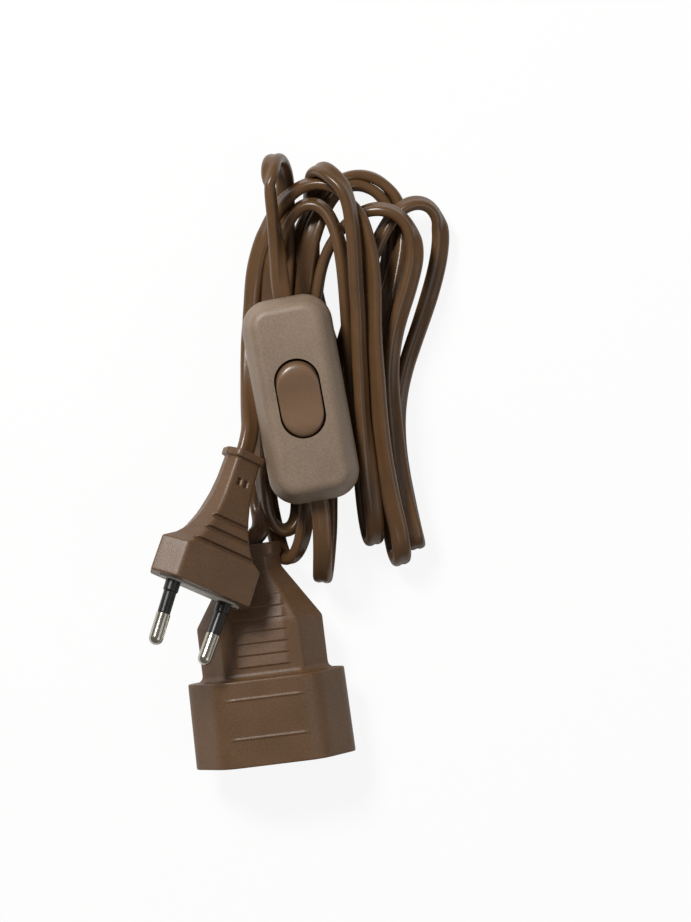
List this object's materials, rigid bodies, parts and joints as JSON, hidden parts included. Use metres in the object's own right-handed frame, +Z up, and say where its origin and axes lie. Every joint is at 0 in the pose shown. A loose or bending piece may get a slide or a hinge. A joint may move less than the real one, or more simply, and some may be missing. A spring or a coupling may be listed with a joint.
{
  "type": "extension cord with in-line switch",
  "caption": "Two-core extension lead with a flat plug, an in-line rocker switch and a flat socket coupler, its cord folded in a loose hank.",
  "frame": {"origin": "on the surface the lead lies on, under the centre of the box round the plug, the switch and the socket coupler", "axes": "+Z up out of the surface, out of the switch's rocker face; +Y from the socket coupler's mouth toward the switch; +X to the right"},
  "size_m": [0.0837, 0.1781, 0.0457],
  "materials": {
    "brown_pvc": "moulded brown PVC, fine matt",
    "cord_pvc": "extruded brown PVC sheath, satin",
    "switch_plastic": "grey-brown plastic with fine spark texture",
    "rocker_plastic": "smooth brown plastic",
    "spring_steel": "spring steel",
    "brass": "stamped brass",
    "zinc_screws": "zinc-plated steel",
    "inner_plastic": "moulded clamp",
    "brown_core": "brown core insulation",
    "blue_core": "blue core insulation",
    "bridge_plastic": "light pin bridge",
    "nickel_pin": "nickel-plated brass pin",
    "black_sleeve": "black pin sleeve",
    "carrier_plastic": "contact carrier"
  },
  "bodies": {
    "lead": {"plug_body": "brown_pvc", "socket_body": "brown_pvc", "plug_lead": "cord_pvc", "switch_lead_top": "cord_pvc", "switch_lead_bottom": "cord_pvc", "socket_lead": "cord_pvc", "cord_hank": "cord_pvc", "switch_cover": "switch_plastic", "switch_base": "switch_plastic", "live_terminal_in": "brass", "live_terminal_out": "brass", "terminal_screws": "zinc_screws", "clamp_screws": "zinc_screws", "casing_screws": "zinc_screws", "cord_clamp_in": "inner_plastic", "cord_clamp_out": "inner_plastic", "live_core_in": "brown_core", "live_core_out": "brown_core", "neutral_core": "blue_core", "plug_bridge": "bridge_plastic", "plug_pin_left": "nickel_pin", "plug_pin_right": "nickel_pin", "pin_sleeve_left": "black_sleeve", "pin_sleeve_right": "black_sleeve", "contact_carrier": "carrier_plastic", "socket_contact_left": "brass", "socket_contact_right": "brass"},
    "rocker": {"rocker": "rocker_plastic", "rocker_plunger": "rocker_plastic", "rocker_spring": "spring_steel"},
    "seesaw": {"contact_seesaw": "brass"}
  },
  "joints": [
    {"name": "rocker_tilt", "type": "hinge", "parent": "lead", "child": "rocker", "pos_m": [0.0128, 0.0378, 0.0293], "axis": [-0.9839, -0.1788, 0], "range_deg": [0, 14]},
    {"name": "seesaw_tilt", "type": "hinge", "parent": "lead", "child": "seesaw", "pos_m": [0.0128, 0.0378, 0.02075], "axis": [-0.9839, -0.1788, 0], "range_deg": [-11.2, 0]}
  ],
  "couplings": [
    {"joint": "seesaw_tilt", "follows": "rocker_tilt", "ratio": -0.8}
  ]
}
